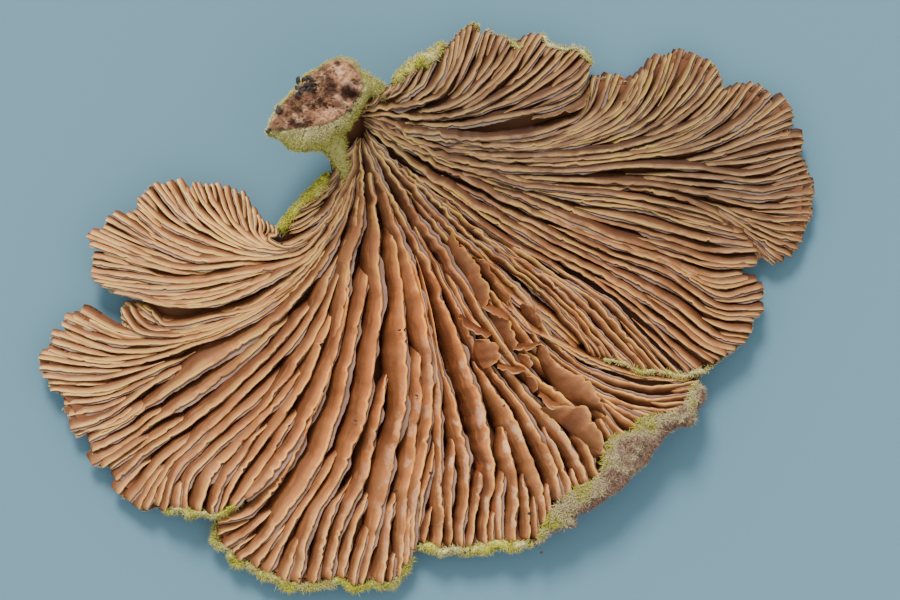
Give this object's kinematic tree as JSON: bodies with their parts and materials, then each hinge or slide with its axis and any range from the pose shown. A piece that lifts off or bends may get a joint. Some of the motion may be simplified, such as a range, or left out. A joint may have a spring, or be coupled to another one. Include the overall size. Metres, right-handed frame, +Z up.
{
  "type": "split gill fungus",
  "caption": "Fan-shaped lobed bracket fungus lying on its felted back, with radiating split gills, a rolled woolly rim and a torn stub where it grew from wood.",
  "frame": {"origin": "centre of the plan box, on the table that the back rests on", "axes": "+X along the widest spread of the fan, to the right with the torn stub at the far left; +Y from the fan's foot towards the stub side; +Z up out of the gills"},
  "size_m": [0.042, 0.0308, 0.0059],
  "materials": {
    "fungus_flesh": "matte, tough and leathery, orange-brown gills with cream and yellow-green felt"
  },
  "bodies": {
    "root": {"fruit_body": "fungus_flesh"}
  },
  "joints": []
}
